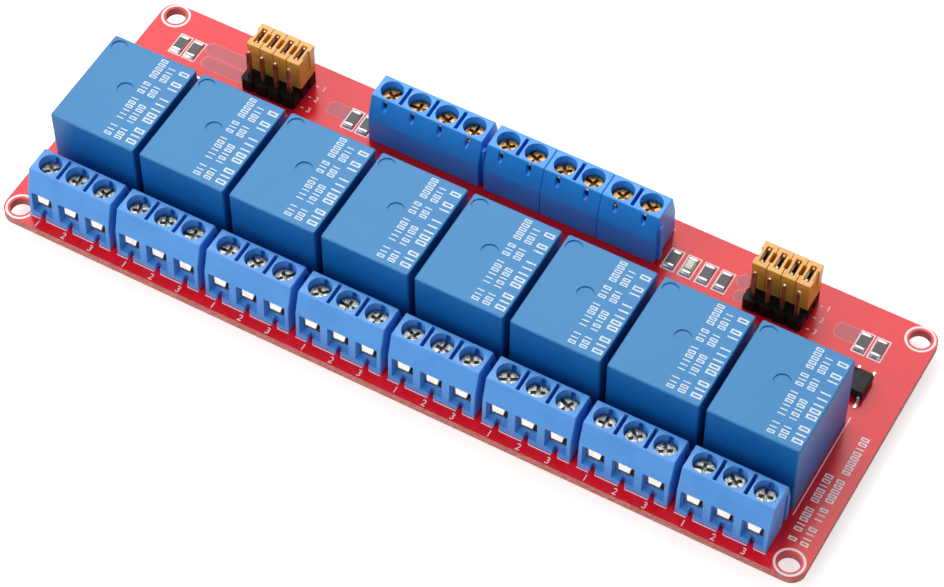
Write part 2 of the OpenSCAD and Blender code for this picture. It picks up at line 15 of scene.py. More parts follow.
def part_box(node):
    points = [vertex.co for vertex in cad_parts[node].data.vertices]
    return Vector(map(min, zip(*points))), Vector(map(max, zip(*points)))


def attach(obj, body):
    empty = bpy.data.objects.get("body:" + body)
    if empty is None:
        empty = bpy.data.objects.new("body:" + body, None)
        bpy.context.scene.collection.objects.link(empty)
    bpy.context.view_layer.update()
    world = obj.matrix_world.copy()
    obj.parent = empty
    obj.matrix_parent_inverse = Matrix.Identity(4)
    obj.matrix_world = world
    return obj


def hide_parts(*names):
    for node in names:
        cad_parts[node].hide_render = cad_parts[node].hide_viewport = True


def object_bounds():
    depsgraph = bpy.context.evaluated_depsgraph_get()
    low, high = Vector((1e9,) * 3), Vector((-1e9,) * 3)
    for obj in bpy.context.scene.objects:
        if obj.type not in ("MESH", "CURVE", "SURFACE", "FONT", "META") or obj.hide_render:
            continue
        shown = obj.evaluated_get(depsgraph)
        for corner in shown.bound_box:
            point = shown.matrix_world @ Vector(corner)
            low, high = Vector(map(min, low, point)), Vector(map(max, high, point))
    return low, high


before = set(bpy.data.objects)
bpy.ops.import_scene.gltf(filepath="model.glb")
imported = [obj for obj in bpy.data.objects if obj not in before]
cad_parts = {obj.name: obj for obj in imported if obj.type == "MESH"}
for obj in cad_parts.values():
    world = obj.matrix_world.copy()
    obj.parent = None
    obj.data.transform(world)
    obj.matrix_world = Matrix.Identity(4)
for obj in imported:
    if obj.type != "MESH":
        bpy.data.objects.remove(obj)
cad_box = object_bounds()

MM = 0.001
TINY = 2e-6  # metres within which points are merged
ON_PLANE = 1e-7  # metres within which a point lies on a cutting plane
PAST = 1  # how far a cutter reaches past the face that it opens
UP = Vector((0, 0, 1))
CHANNELS = 8
OUTPUT_WAYS = 3
SUPPLY_WAYS = 4
CONTROL_WAYS = 2
CAPS = 8

# Mounting holes, from the board's edges
HOLE_INSET_X = 2.8
HOLE_INSET_Y = 2.5

# Relay cases
CASE_WALL = 0.9
CASE_ROOF = 1.0
CASE_CORNER = 0.4
CASE_EDGE = 0.22
MARK_R = 1.4
MARK_DEPTH = 0.2
MARK_EDGE = 0.04
CORNER_MARK_INSET = 1.9
MIDDLE_MARK = (-0.2, 0.7)

# Screw terminals: y is measured from the screws' axes and z from the board
WAY_PITCH = 5.08
BLOCK_SIDE = 0.05  # beyond the outer ways
TERM_FRONT = 3.85
TERM_BACK = 3.7
TERM_H = 10
WALL_LEAN = 0.25  # of the wire side, from the board up to the entries' top
ENTRY_W = 3.8
ENTRY_TOP = 5.6
FLOOR_T = 1.2
TOP_FRONT = 2.35
TOP_BACK = 2.3
SHOULDER_Z = 5.3
FRAME_FRONT = 2.4
FRAME_BACK = 2.2
FRAME_TOP = 6.2
WELL_D = 3.8
SPLIT_W = 0.65
SPLIT_DEPTH = 3
OUTPUT_SPLIT = (-2.05, 2.05)
REAR_SPLIT = (-1.9, 2)
KEY_OUT = 0.6
KEY_ROOT = 0.5  # overlap of the key with its block
KEY_Y = 1.6
KEY_W = 1
KEY_TOP = 8
FIT = 0.05  # clearance round what a block takes in
HOUSING_EDGE = 0.16
WELL_CHAMFER = 0.12
FRAME_INSET = 0.1  # how much narrower a clamp frame is on each side than its entry
FLOOR_CUT = FLOOR_T + 0.5  # top of what cuts through the floor
NOTCH_W = 0.9
NOTCH_END = 0.3  # from the notch to the clamp frame
TAIL_W = 1.1
TAIL_L = 0.9
CUT_FRONT = -6  # in front of every block
CUT_BACK = 5  # behind every block
DRIVER_SLOT_W = 0.9
DRIVER_SLOT_H = 2.2
DRIVER_SLOT_DOWN = 1.4
DRIVER_SLOT_Y = 0.95

# Screws
HEAD_D = 3.5
HEAD_H = 1.5
HEAD_SINK = 1.6
HEAD_EDGE = 0.18
SLOT_W = 0.6
SLOT_DEPTH = 0.7
CROSS_SLOT_SHARE = 0.32  # half the cross slot's length, of the head's diameter
THREAD_D = 2.5
THREAD_EDGE = 0.3
THREAD_IN_HEAD = 0.2
SCREW_TIP = 4.0
SCREW_SEED = 3

# Headers and jumper caps
PIN_PITCH = 2.54
CAP_W = 2.44
CAP_L = 4.98
CAP_H = 6.2
CAP_WAIST = 0.3
WAIST_FROM = 1.8
WAIST_L = 2
CAP_RIM = 1
CAP_STEP = 0.15
CAP_ROOF = 0.9
POCKET_W = 1.24
POCKET_L = 3.78
ROOF_SLOT_W = 1
ROOF_SLOT_L = 3.28

# Surface-mounted parts
CHIP_L = 3.2
CHIP_W = 1.6
CHIP_H = 0.55
CHIP_END = 0.5
CARRIER_H = 0.35
LAMP_H = 0.8
STAND_OFF = 0.1  # from the board to a package
DRAFT = 0.3
PRINTED_PITCH = 2.7
PRINTED_BELOW = 0.74  # from the headers' middle line to the printed boxes' middles

# Print and copper
INK = 0.03
STROKE_SHARE = 0.17  # of a mark's height
BOX_SHARE = 0.74  # of a cell's pitch
BOX_CHANCE = 0.68  # that a cell holds a box and not a bar
CASE_PRINT_SEED = 5
BOARD_PRINT_SEED = 11
RING_INNER_R = 2.12
RING_OUTER_R = 2.5
NUMERAL_SCALE = 1.38  # text size for a numeral's height
OUTPUT_NUMERAL = 1.25
SMALL_NUMERAL = 1.1
PRINT_LINE = 0.16
BOX_LINE = 0.2
BOX_HALF_W = 1.2
BOX_HALF_L = 2.25
FIELD_CORNER = 0.7
FIELD_EDGE_W = 0.14
FIELD_EDGE_H = 0.012
FIELD_H = 0.022

board_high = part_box("circuit_board")[1]
BOARD_TOP = board_high.z
HOLE_X = board_high.x - HOLE_INSET_X * MM
HOLE_Y = board_high.y - HOLE_INSET_Y * MM


# ---------- places ----------

def middle(node):
    """Middle of a CAD node's box, on the board's top face."""
    low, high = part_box(node)
    return Vector(((low.x + high.x) / 2, (low.y + high.y) / 2, BOARD_TOP))


def block_width(ways):
    return ways * WAY_PITCH + 2 * BLOCK_SIDE


def block_place(node, ways, faces_rear):
    """Middle of a terminal block's line of screw axes, on the board's top face."""
    low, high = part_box(node)
    x = high.x - block_width(ways) / 2 * MM
    y = high.y - TERM_FRONT * MM if faces_rear else low.y + TERM_FRONT * MM
    return Vector((x, y, BOARD_TOP))


def mm(*lengths):
    return Vector(lengths) * MM


relay_nodes = [f"relay_case_{n + 1}" for n in range(CHANNELS)]
output_nodes = [f"output_terminal_{n + 1}" for n in range(CHANNELS)]
control_nodes = ["control_terminal_1", "control_terminal_2", "control_terminal_3"]
relay_places = [middle(node) for node in relay_nodes]
output_places = [block_place(node, OUTPUT_WAYS, False) for node in output_nodes]
supply_place = block_place("supply_terminal", SUPPLY_WAYS, True)
control_places = [block_place(node, CONTROL_WAYS, True) for node in control_nodes]
rear_blocks = [(supply_place, SUPPLY_WAYS)] + [(place, CONTROL_WAYS) for place in control_places]


def way_offsets(ways):
    return [(way - (ways - 1) / 2) * WAY_PITCH for way in range(ways)]


# ---------- modelling with operators ----------

def only(piece):
    """Object mode, with this piece alone selected."""
    if bpy.context.mode != "OBJECT":
        bpy.ops.object.mode_set(mode="OBJECT")
    bpy.ops.object.select_all(action="DESELECT")
    if piece is not None:
        piece.select_set(True)
        bpy.context.view_layer.objects.active = piece
    return piece


def settle(piece, name):
    """Names a new piece and moves its place into its mesh."""
    piece.name = name
    only(piece)
    bpy.ops.object.transform_apply(location=True, rotation=True, scale=True)
    return piece


def block(low, high):
    """A box between two corners."""
    low, high = mm(*low), mm(*high)
    only(None)
    bpy.ops.mesh.primitive_cube_add(size=1, location=(low + high) / 2, scale=high - low)
    return settle(bpy.context.object, "block")


def drum(radius, z_low, z_high, x=0.0, y=0.0, sides=48):
    """An upright cylinder."""
    only(None)
    bpy.ops.mesh.primitive_cylinder_add(
        vertices=sides,
        radius=radius * MM,
        depth=(z_high - z_low) * MM,
        location=mm(x, y, (z_low + z_high) / 2),
    )
    return settle(bpy.context.object, "drum")


def looks_up(at, normal):
    return normal.z > 0.9


def looks_down(at, normal):
    return normal.z < -0.9


def runs_upright(at, way):
    return abs(way.z) > 0.9


def choose(piece, test, kind="FACE"):
    """Edit mode, with the faces or edges selected whose middle (mm) and direction pass a test."""
    only(piece)
    bpy.ops.object.mode_set(mode="EDIT")
    bpy.ops.mesh.select_mode(type=kind)
    bpy.ops.mesh.select_all(action="DESELECT")
    bpy.ops.object.mode_set(mode="OBJECT")
    mesh = piece.data
    if kind == "FACE":
        for face in mesh.polygons:
            face.select = test(face.center / MM, face.normal)
    else:
        for edge in mesh.edges:
            start, end = (mesh.vertices[v].co for v in edge.vertices)
            edge.select = test((start + end) / 2 / MM, (end - start).normalized())
    bpy.ops.object.mode_set(mode="EDIT")


def choose_all(piece):
    only(piece)
    bpy.ops.object.mode_set(mode="EDIT")
    bpy.ops.mesh.select_mode(type="FACE")
    bpy.ops.mesh.select_all(action="SELECT")


def object_mode():
    bpy.ops.object.mode_set(mode="OBJECT")


def bevel(piece, test, width, segments, kind="EDGE"):
    """Bevels the edges, or the faces' edges, that pass a test."""
    choose(piece, test, kind)
    bpy.ops.mesh.bevel(offset=width * MM, segments=segments, affect="EDGES")
    object_mode()


def scale_faces(piece, test, scale, centre):
    """Scales the faces that pass a test about a point."""
    choose(piece, test)
    bpy.ops.transform.resize(value=scale, center_override=mm(*centre))
    object_mode()


def shave(piece, point, away):
    """Cuts off what lies beyond a plane, and closes the cut."""
    choose_all(piece)
    bpy.ops.mesh.bisect(
        plane_co=mm(*point),
        plane_no=Vector(away).normalized(),
        use_fill=True,
        clear_outer=True,
        threshold=ON_PLANE,
    )
    object_mode()


def ring_cut(piece, height):
    """Adds an edge loop round the piece at a height."""
    choose_all(piece)
    bpy.ops.mesh.bisect(plane_co=mm(0, 0, height), plane_no=UP, threshold=ON_PLANE)
    object_mode()


def apply_modifier(piece, change):
    only(piece)
    bpy.ops.object.modifier_apply(modifier=change.name)


def merge_doubles():
    """In edit mode, merges points that coincide and removes faces without area."""
    bpy.ops.mesh.remove_doubles(threshold=TINY)
    bpy.ops.mesh.dissolve_degenerate(threshold=TINY)


def combine(piece, others, operation="DIFFERENCE"):
    """Boolean of a piece with several others, which are used up."""
    pen = bpy.data.collections.new("cutters")
    for other in others:
        pen.objects.link(other)
    change = piece.modifiers.new("combine", "BOOLEAN")
    change.operation = operation
    change.operand_type = "COLLECTION"
    change.collection = pen
    change.solver = "EXACT"
    apply_modifier(piece, change)
    for other in others:
        bpy.data.objects.remove(other)
    bpy.data.collections.remove(pen)
    choose_all(piece)
    merge_doubles()
    object_mode()
    return piece


def soften(piece, width, segments=3, angle=30):
    """Rounds every edge that turns by more than an angle."""
    change = piece.modifiers.new("edges", "BEVEL")
    change.width = width * MM
    change.segments = segments
    change.limit_method = "ANGLE"
    change.angle_limit = math.radians(angle)
    apply_modifier(piece, change)
    return piece


def smooth(piece, angle=38):
    """Smooth shading that keeps the flats flat."""
    only(piece)
    bpy.ops.object.shade_smooth_by_angle(angle=math.radians(angle))
    change = piece.modifiers.new("normals", "WEIGHTED_NORMAL")
    change.keep_sharp = True
    apply_modifier(piece, change)
    return piece


def outward(piece):
    """Merges doubles and turns every face outwards."""
    choose_all(piece)
    merge_doubles()
    bpy.ops.mesh.normals_make_consistent(inside=False)
    object_mode()
    return piece


def join(pieces, name):
    only(None)
    for piece in pieces:
        piece.select_set(True)
    bpy.context.view_layer.objects.active = pieces[0]
    if len(pieces) > 1:
        bpy.ops.object.join()
    pieces[0].name = name
    return pieces[0]


def copy_to(piece, place, name="copy", turn=0.0):
    """A copy with its own mesh, turned about Z and carried to a place in metres."""
    twin = piece.copy()
    twin.data = piece.data.copy()
    twin.name = name
    bpy.context.scene.collection.objects.link(twin)
    twin.data.transform(Matrix.Translation(place) @ Matrix.Rotation(turn, 4, "Z"))
    return twin


def discard(*pieces):
    for piece in pieces:
        bpy.data.objects.remove(piece)


def fit_out(piece, finish, stands_for=()):
    """Gives a piece its material and its body, and hides the CAD nodes that it stands for."""
    piece.data.materials.clear()
    piece.data.materials.append(finish)
    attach(piece, "root")
    if stands_for:
        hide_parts(*stands_for)
    return piece


# ---------- materials ----------

def shade(red, green, blue):
    """Linear colour of an sRGB colour given from 0 to 255."""
    def linear(value):
        value /= 255
        return value / 12.92 if value <= 0.04045 else ((value + 0.055) / 1.055) ** 2.4
    return linear(red), linear(green), linear(blue)


class Finish:
    """A Principled material whose patterns lie on object coordinates."""

    def __init__(self, name, colour, roughness, **sockets):
        self.material = bpy.data.materials.new(name)
        self.material.use_nodes = True
        self.tree = self.material.node_tree
        self.shader = self.tree.nodes["Principled BSDF"]
        self.set("Base Color", (*colour, 1))
        self.set("Roughness", roughness)
        for socket, value in sockets.items():
            self.set(socket.replace("_", " "), value)
        self.colour = colour
        self.at = self.node("ShaderNodeTexCoord").outputs["Object"]
        self.normal = None

    def set(self, socket, value):
        self.shader.inputs[socket].default_value = value

    def node(self, kind, **settings):
        made = self.tree.nodes.new(kind)
        for key, value in settings.items():
            setattr(made, key, value)
        return made

    def link(self, output, target):
        self.tree.links.new(output, target)

    def stretched(self, stretch):
        mapping = self.node("ShaderNodeMapping")
        mapping.inputs["Scale"].default_value = stretch
        self.link(self.at, mapping.inputs["Vector"])
        return mapping.outputs["Vector"]

    def noise(self, size, detail=3.0, stretch=None):
        """Noise whose features are about this many millimetres across."""
        made = self.node("ShaderNodeTexNoise")
        made.inputs["Scale"].default_value = 1 / (size * MM)
        made.inputs["Detail"].default_value = detail
        self.link(self.stretched(stretch) if stretch else self.at, made.inputs["Vector"])
        return made.outputs["Fac"]

    def math(self, operation, first, second):
        made = self.node("ShaderNodeMath", operation=operation)
        for socket, value in zip(made.inputs, (first, second)):
            if isinstance(value, (int, float)):
                socket.default_value = value
            else:
                self.link(value, socket)
        return made.outputs[0]

    def spread(self, value, low, high, to_low=0.0, to_high=1.0):
        """Maps a value's range to another, and clamps it."""
        made = self.node("ShaderNodeMapRange")
        for socket, number in zip(made.inputs[1:5], (low, high, to_low, to_high)):
            socket.default_value = number
        self.link(value, made.inputs["Value"])
        return made.outputs["Result"]

    def axis(self, letter):
        made = self.node("ShaderNodeSeparateXYZ")
        self.link(self.at, made.inputs[0])
        return made.outputs[letter]

    def facing(self):
        """1 on faces that look up or down, 0 on upright ones."""
        split = self.node("ShaderNodeSeparateXYZ")
        self.link(self.node("ShaderNodeNewGeometry").outputs["Normal"], split.inputs[0])
        return self.spread(self.math("ABSOLUTE", split.outputs["Z"], 0), 0.6, 0.8)

    def blend(self, factor, first, second):
        """Mixes two colours, each a tuple or an output."""
        made = self.node("ShaderNodeMix", data_type="RGBA")
        for socket, value in ((made.inputs[6], first), (made.inputs[7], second)):
            if isinstance(value, tuple):
                socket.default_value = (*value, 1)
            else:
                self.link(value, socket)
        self.link(factor, made.inputs["Factor"])
        return made.outputs[2]

    def paint(self, colour):
        self.link(colour, self.shader.inputs["Base Color"])
        return self

    def mottle(self, size, other, detail=3.0):
        """Lets the colour drift towards another one in patches."""
        patches = self.spread(self.noise(size, detail), 0.35, 0.7)
        return self.paint(self.blend(patches, self.colour, other))

    def sheen_drift(self, size, low, high):
        """Lets the roughness drift between two values."""
        drift = self.spread(self.noise(size, 4.0), 0.3, 0.7, low, high)
        self.link(drift, self.shader.inputs["Roughness"])
        return self

    def grain(self, size, height, detail=2.0):
        """Fine bumps, height in millimetres."""
        return self.raise_by(self.noise(size, detail), height)

    def raise_by(self, value, height):
        """Adds a bump pattern to those that the finish already has."""
        bump = self.node("ShaderNodeBump")
        bump.inputs["Strength"].default_value = 1.0
        bump.inputs["Distance"].default_value = height * MM
        self.link(value, bump.inputs["Height"])
        if self.normal is not None:
            self.link(self.normal, bump.inputs["Normal"])
        self.normal = bump.outputs["Normal"]
        self.link(self.normal, self.shader.inputs["Normal"])
        return self


def wave(finish, letter, period):
    """Sine wave along an axis, period in millimetres."""
    phase = finish.math("MULTIPLY", finish.axis(letter), 2 * math.pi / (period * MM))
    return finish.math("SINE", phase, 0)


def weave(finish):
    """Faint square weave of the glass cloth under the mask."""
    thread_pitch = 0.45
    threads = [wave(finish, letter, thread_pitch) for letter in "XY"]
    return finish.math("MULTIPLY", *threads)


def in_mounting_hole(finish):
    """1 on the walls of the four mounting holes."""
    squares = []
    for letter, centre in (("X", HOLE_X), ("Y", HOLE_Y)):
        away = finish.math("SUBTRACT", finish.math("ABSOLUTE", finish.axis(letter), 0), centre)
        squares.append(finish.math("MULTIPLY", away, away))
    distance = finish.math("SQRT", finish.math("ADD", *squares), 0)
    near, far = 1.9 * MM, 2.0 * MM
    return finish.spread(distance, near, far, 1, 0)


def solder_mask(name, colour, dull):
    """Glossy red mask on the flats and bare laminate on the sawn edges."""
    sawn_roughness, mask_roughness = 0.75, 0.17
    along_layers = (1, 1, 3.5)
    finish = Finish(name, colour, 0.3, Specular_IOR_Level=0.27)
    patches = finish.spread(finish.noise(9.0), 0.3, 0.75)
    mask = finish.blend(patches, colour, dull)
    fibres = finish.spread(finish.noise(0.5, 5.0, along_layers), 0.38, 0.62)
    sawn = finish.blend(fibres, shade(222, 148, 140), shade(176, 92, 84))
    laminate = finish.blend(in_mounting_hole(finish), sawn, shade(206, 112, 108))
    flat = finish.facing()
    finish.paint(finish.blend(flat, laminate, mask))
    roughness = finish.spread(flat, 0, 1, sawn_roughness, mask_roughness)
    finish.link(roughness, finish.shader.inputs["Roughness"])
    finish.raise_by(weave(finish), 0.002)
    return finish.grain(1.6, 0.012)


def moulded(name, colour, deep, roughness, grain=0.012, **sockets):
    """Injection-moulded plastic with a fine spark-eroded grain."""
    finish = Finish(name, colour, roughness, **sockets)
    finish.mottle(4.0, deep)
    finish.sheen_drift(1.5, roughness - 0.06, roughness + 0.08)
    finish.grain(0.22, grain)
    return finish.grain(2.5, 0.02)


def plated(name, colour, other, roughness, size, grain=0.006):
    """Plated or drawn metal, with stains of about this size."""
    finish = Finish(name, colour, roughness, Metallic=1.0)
    finish.mottle(size, other, 4.0)
    finish.sheen_drift(size * 0.7, roughness - 0.08, roughness + 0.12)
    return finish.grain(size * 0.3, grain, 3.0)


def case_plastic():
    """Blue relay case, evenly coloured, with a fine grain."""
    finish = Finish(
        "blue relay case",
        shade(14, 98, 168),
        0.42,
        Specular_IOR_Level=0.95,
        Specular_Tint=(0.42, 0.85, 1, 1),
    )
    return finish.mottle(9.0, shade(12, 94, 164)).grain(0.22, 0.008)


def amber_plastic():
    """Slightly see-through plastic of the jumper caps."""
    finish = Finish(
        "amber cap plastic",
        shade(244, 184, 84),
        0.34,
        Subsurface_Weight=0.35,
        Subsurface_Radius=(1.0, 0.5, 0.15),
        Subsurface_Scale=0.0012,
    )
    return finish.mottle(1.2, shade(236, 164, 60)).grain(0.2, 0.01)


def lamp_lens():
    """Milky lens of an indicator lamp."""
    finish = Finish(
        "lamp lens",
        shade(226, 232, 206),
        0.22,
        Subsurface_Weight=0.4,
        Subsurface_Radius=(1.0, 1.0, 0.8),
        Subsurface_Scale=0.0006,
    )
    return finish.mottle(0.5, shade(196, 214, 160)).grain(0.3, 0.006)


def winding():
    """Turns of enamelled wire round an upright coil."""
    wire_pitch = 0.14
    finish = Finish("enamelled winding", shade(164, 72, 34), 0.3, Coat_Weight=0.6)
    turns = wave(finish, "Z", wire_pitch)
    return finish.mottle(1.0, shade(128, 50, 24)).raise_by(turns, 0.03)


def chip_ceramic():
    """Pale ceramic with a dark film on its top."""
    finish = Finish("chip resistor body", shade(34, 34, 38), 0.4)
    film_low = BOARD_TOP + (CHIP_H - 0.12) * MM
    film_high = BOARD_TOP + (CHIP_H - 0.08) * MM
    film = finish.spread(finish.axis("Z"), film_low, film_high)
    finish.paint(finish.blend(film, shade(232, 230, 224), shade(36, 36, 40)))
    return finish.grain(0.15, 0.01)


def make_finishes():
    white = shade(255, 254, 252)
    case_white = shade(226, 238, 248)
    sheets = {
        "mask": solder_mask("red solder mask", shade(252, 28, 44), shade(245, 22, 38)),
        "poured": solder_mask("mask over copper", shade(206, 80, 94), shade(196, 70, 84)),
        "track": solder_mask("mask over a copper edge", shade(238, 120, 130), shade(226, 104, 116)),
        "ink": Finish("white board ink", white, 0.45).mottle(0.4, shade(246, 240, 238)),
        "relay": case_plastic(),
        "relay ink": Finish("white case ink", case_white, 0.5).mottle(0.35, shade(196, 216, 238)),
        "output": moulded("light blue housing", shade(84, 160, 238), shade(74, 152, 232), 0.4),
        "rear": moulded("bright blue housing", shade(52, 160, 248), shade(44, 153, 243), 0.36),
        "base": moulded("dark base moulding", shade(24, 40, 84), shade(18, 32, 70), 0.5),
        "header": moulded(
            "black header plastic", shade(13, 14, 15), shade(9, 9, 11), 0.4, Specular_IOR_Level=0.12
        ),
        "epoxy": moulded(
            "black moulding resin", shade(30, 30, 33), shade(23, 23, 26), 0.6, 0.02,
            Specular_IOR_Level=0.3,
        ),
        "tin": plated("tinned steel", shade(206, 206, 208), shade(168, 168, 172), 0.3, 0.6),
        "guard": plated(
            "bright guard strip", shade(246, 243, 236), shade(222, 216, 206), 0.34, 0.9
        ),
        "zinc": plated("zinc screw", shade(172, 172, 166), shade(72, 74, 72), 0.3, 0.5, 0.02),
        "brass": plated(
            "yellow passivated screw", shade(186, 144, 92), shade(84, 52, 28), 0.3, 0.5, 0.02
        ),
        "gold": plated(
            "gold flashed pin", shade(188, 148, 116), shade(150, 110, 84), 0.42, 1.2, 0.001
        ),
        "solder": plated("solder", shade(198, 200, 204), shade(150, 152, 158), 0.28, 0.8, 0.02),
        "iron": plated("relay iron", shade(150, 152, 158), shade(120, 122, 128), 0.42, 0.8),
        "spring": plated("contact spring", shade(208, 142, 88), shade(178, 116, 66), 0.32, 0.8),
        "contact": plated("contact metal", shade(196, 178, 130), shade(162, 142, 96), 0.34, 0.6),
        "clip": plated("clip steel", shade(226, 226, 230), shade(180, 180, 186), 0.2, 0.4),
        "wire": winding(),
        "amber": amber_plastic(),
        "chip": chip_ceramic(),
        "lamp": lamp_lens(),
        "diode": Finish("diode body", shade(38, 38, 42), 0.5).grain(0.25, 0.02),
    }
    return {name: sheet.material for name, sheet in sheets.items()}


finishes = make_finishes()


# ---------- relays ----------

def relay_case():
    """Case with rounded corners, hollow from below, and two shallow round marks in the roof."""
    low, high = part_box(relay_nodes[0])
    width, length, height = (high - low) / MM
    just_under_top = height - 0.01

    def round_the_top(at, way):
        return at.z > just_under_top and abs(way.z) < 0.1

    def round_the_bottom(at, way):
        return at.z < height and abs(way.z) < 0.1

    case = block((-width / 2, -length / 2, 0), (width / 2, length / 2, height))
    bevel(case, runs_upright, CASE_CORNER, 4)
    bevel(case, round_the_top, CASE_EDGE, 3)
    inner_w, inner_l = width / 2 - CASE_WALL, length / 2 - CASE_WALL
    combine(case, [block((-inner_w, -inner_l, -PAST), (inner_w, inner_l, height - CASE_ROOF))])
    marks = []
    corner_mark = (-width / 2 + CORNER_MARK_INSET, length / 2 - CORNER_MARK_INSET)
    for x, y in (corner_mark, MIDDLE_MARK):
        mark = drum(MARK_R, height - MARK_DEPTH, height + PAST, x, y, 56)
        bevel(mark, round_the_bottom, MARK_EDGE, 2)
        marks.append(mark)
    combine(case, marks)
    return smooth(case)


def bar(x_low, y_low, x_high, y_high):
    """A flat printed rectangle."""
    return block((x_low, y_low, 0), (x_high, y_high, INK))


def dashes(name, rows, seed):
    """Rows of plain outlined boxes and bars along Y.

    A row is (x, height, pitch, start, end, cells left empty).
    """
    draw = random.Random(seed)
    marks = []
    for x, height, pitch, start, end, gaps in rows:
        stroke = STROKE_SHARE * height
        wide = BOX_SHARE * pitch
        low, high = x - height / 2, x + height / 2
        for cell in range(int((end - start) / pitch)):
            if cell in gaps:
                continue
            y = start + (cell + 0.5) * pitch
            if draw.random() >= BOX_CHANCE:
                marks.append(bar(low, y - stroke / 2, high, y + stroke / 2))
                continue
            y_low, y_high = y - wide / 2 + stroke, y + wide / 2 - stroke
            for side in (-1, 1):
                mid = y + side * (wide - stroke) / 2
                marks.append(bar(low, mid - stroke / 2, high, mid + stroke / 2))
                edge = x + side * (height - stroke) / 2
                marks.append(bar(edge - stroke / 2, y_low, edge + stroke / 2, y_high))
    return join(marks, name)


def make_relays():
    case = relay_case()
    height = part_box(relay_nodes[0])[1].z - BOARD_TOP
    rows = (
        (2.25, 1.25, 0.88, -8.6, 9.0, (3, 10, 14)),
        (4.15, 1.25, 0.88, -8.6, 8.8, (3, 9, 10, 14)),
        (6.45, 1.7, 1.2, -8.5, 8.6, (3, 9, 12)),
    )
    ink = dashes("ink", rows, CASE_PRINT_SEED)
    inks = []
    for node, place in zip(relay_nodes, relay_places):
        number = node.rsplit("_", 1)[1]
        piece = copy_to(case, place, f"case_of_relay_{number}")
        fit_out(piece, finishes["relay"], [node])
        inks.append(copy_to(ink, place + UP * height))
    discard(case, ink)
    fit_out(join(inks, "relay_case_print"), finishes["relay ink"])


# ---------- screw terminals ----------

def housing(ways, split):
    """Terminal housing with wire entries on -Y, wells, clamp chambers, slots and a side key."""
    half = block_width(ways) / 2
    body = block((-half, -TERM_FRONT, 0), (half, TERM_BACK, TERM_H))
    lip = (0, -TERM_FRONT + WALL_LEAN, ENTRY_TOP)
    shave(body, lip, (0, -ENTRY_TOP, WALL_LEAN))
    shave(body, lip, (0, ENTRY_TOP - TERM_H, TERM_FRONT - WALL_LEAN - TOP_FRONT))
    shave(body, (0, TERM_BACK, SHOULDER_Z), (0, TERM_H - SHOULDER_Z, TERM_BACK - TOP_BACK))
    soften(body, HOUSING_EDGE, 3, 10)
    key = block((-half - KEY_OUT, KEY_Y, 0), (-half + KEY_ROOT, KEY_Y + KEY_W, KEY_TOP))
    combine(body, [soften(key, 0.1, 2)], "UNION")
    groove_low = (half - KEY_OUT - 2 * FIT, KEY_Y - FIT, -PAST)
    cutters = [block(groove_low, (half + PAST, KEY_Y + KEY_W + FIT, KEY_TOP + FIT))]
    for x in way_offsets(ways):
        cutters += way_cutters(x)
    split_front, split_back = split
    for x in way_offsets(ways)[1:]:
        middle_x = x - WAY_PITCH / 2
        low = (middle_x - SPLIT_W / 2, split_front, TERM_H - SPLIT_DEPTH)
        cutters.append(block(low, (middle_x + SPLIT_W / 2, split_back, TERM_H + PAST)))
    combine(body, cutters)
    return smooth(body)


def way_cutters(x):
    """What is cut out for one way."""
    rim_z = TERM_H - WELL_CHAMFER
    well = drum(WELL_D / 2, FRAME_TOP - FIT, TERM_H + PAST, x, 0, 56)
    rim = drum(WELL_D / 2 + WELL_CHAMFER, rim_z, TERM_H + PAST, x, 0, 56)
    shrink = WELL_D / (WELL_D + 2 * WELL_CHAMFER)
    scale_faces(rim, looks_down, (shrink, shrink, 1), (x, 0, rim_z))
    driver_slot = oval_slot(x)
    half = ENTRY_W / 2
    entry = block((x - half, CUT_FRONT, FLOOR_T), (x + half, -FRAME_FRONT, ENTRY_TOP))
    half = ENTRY_W / 2 - FRAME_INSET + FIT
    chamber = block(
        (x - half, -FRAME_FRONT - FIT, FLOOR_T),
        (x + half, FRAME_BACK + FIT, FRAME_TOP + FIT),
    )
    notch = block(
        (x - NOTCH_W / 2, CUT_FRONT, -PAST),
        (x + NOTCH_W / 2, -FRAME_FRONT - NOTCH_END, FLOOR_CUT),
    )
    tail = block((x - TAIL_W / 2, -TAIL_L / 2, -PAST), (x + TAIL_W / 2, TAIL_L / 2, FLOOR_CUT))
    return [well, rim, driver_slot, entry, chamber, notch, tail]


def oval_slot(x):
    """Upright slot with round ends through the shoulder behind a well."""
    half_w, half_h = DRIVER_SLOT_W / 2, DRIVER_SLOT_H / 2
    z = TERM_H - DRIVER_SLOT_DOWN
    slot = block((x - half_w, DRIVER_SLOT_Y, z - half_h), (x + half_w, CUT_BACK, z + half_h))
    bevel(slot, lambda at, way: abs(way.y) > 0.9, half_w * 0.98, 6)
    return slot


def clamp_screw():
    """Screw with a rounded head, a long slot and a short cross slot."""
    head_top = TERM_H - HEAD_SINK
    slot_z = head_top - SLOT_DEPTH
    cross = HEAD_D * CROSS_SLOT_SHARE
    screw = drum(HEAD_D / 2, head_top - HEAD_H, head_top)
    soften(screw, HEAD_EDGE, 3)
    slots = [
        block((-HEAD_D, -SLOT_W / 2, slot_z), (HEAD_D, SLOT_W / 2, head_top + PAST)),
        block((-SLOT_W / 2, -cross, slot_z), (SLOT_W / 2, cross, head_top + PAST)),
    ]
    combine(screw, slots)
    shank_top = head_top - HEAD_H + THREAD_IN_HEAD
    shank = drum(THREAD_D / 2, SCREW_TIP, shank_top, sides=32)
    bevel(shank, looks_down, THREAD_EDGE, 2, "FACE")
    combine(screw, [shank], "UNION")
    return smooth(screw, 30)


def turned_screws(screw, blocks, draw):
    """Copies of a screw on every axis of these blocks, each turned by chance."""
    return [
        copy_to(screw, place + mm(x, 0, 0), turn=draw.uniform(0, math.pi))
        for place, ways in blocks
        for x in way_offsets(ways)
    ]


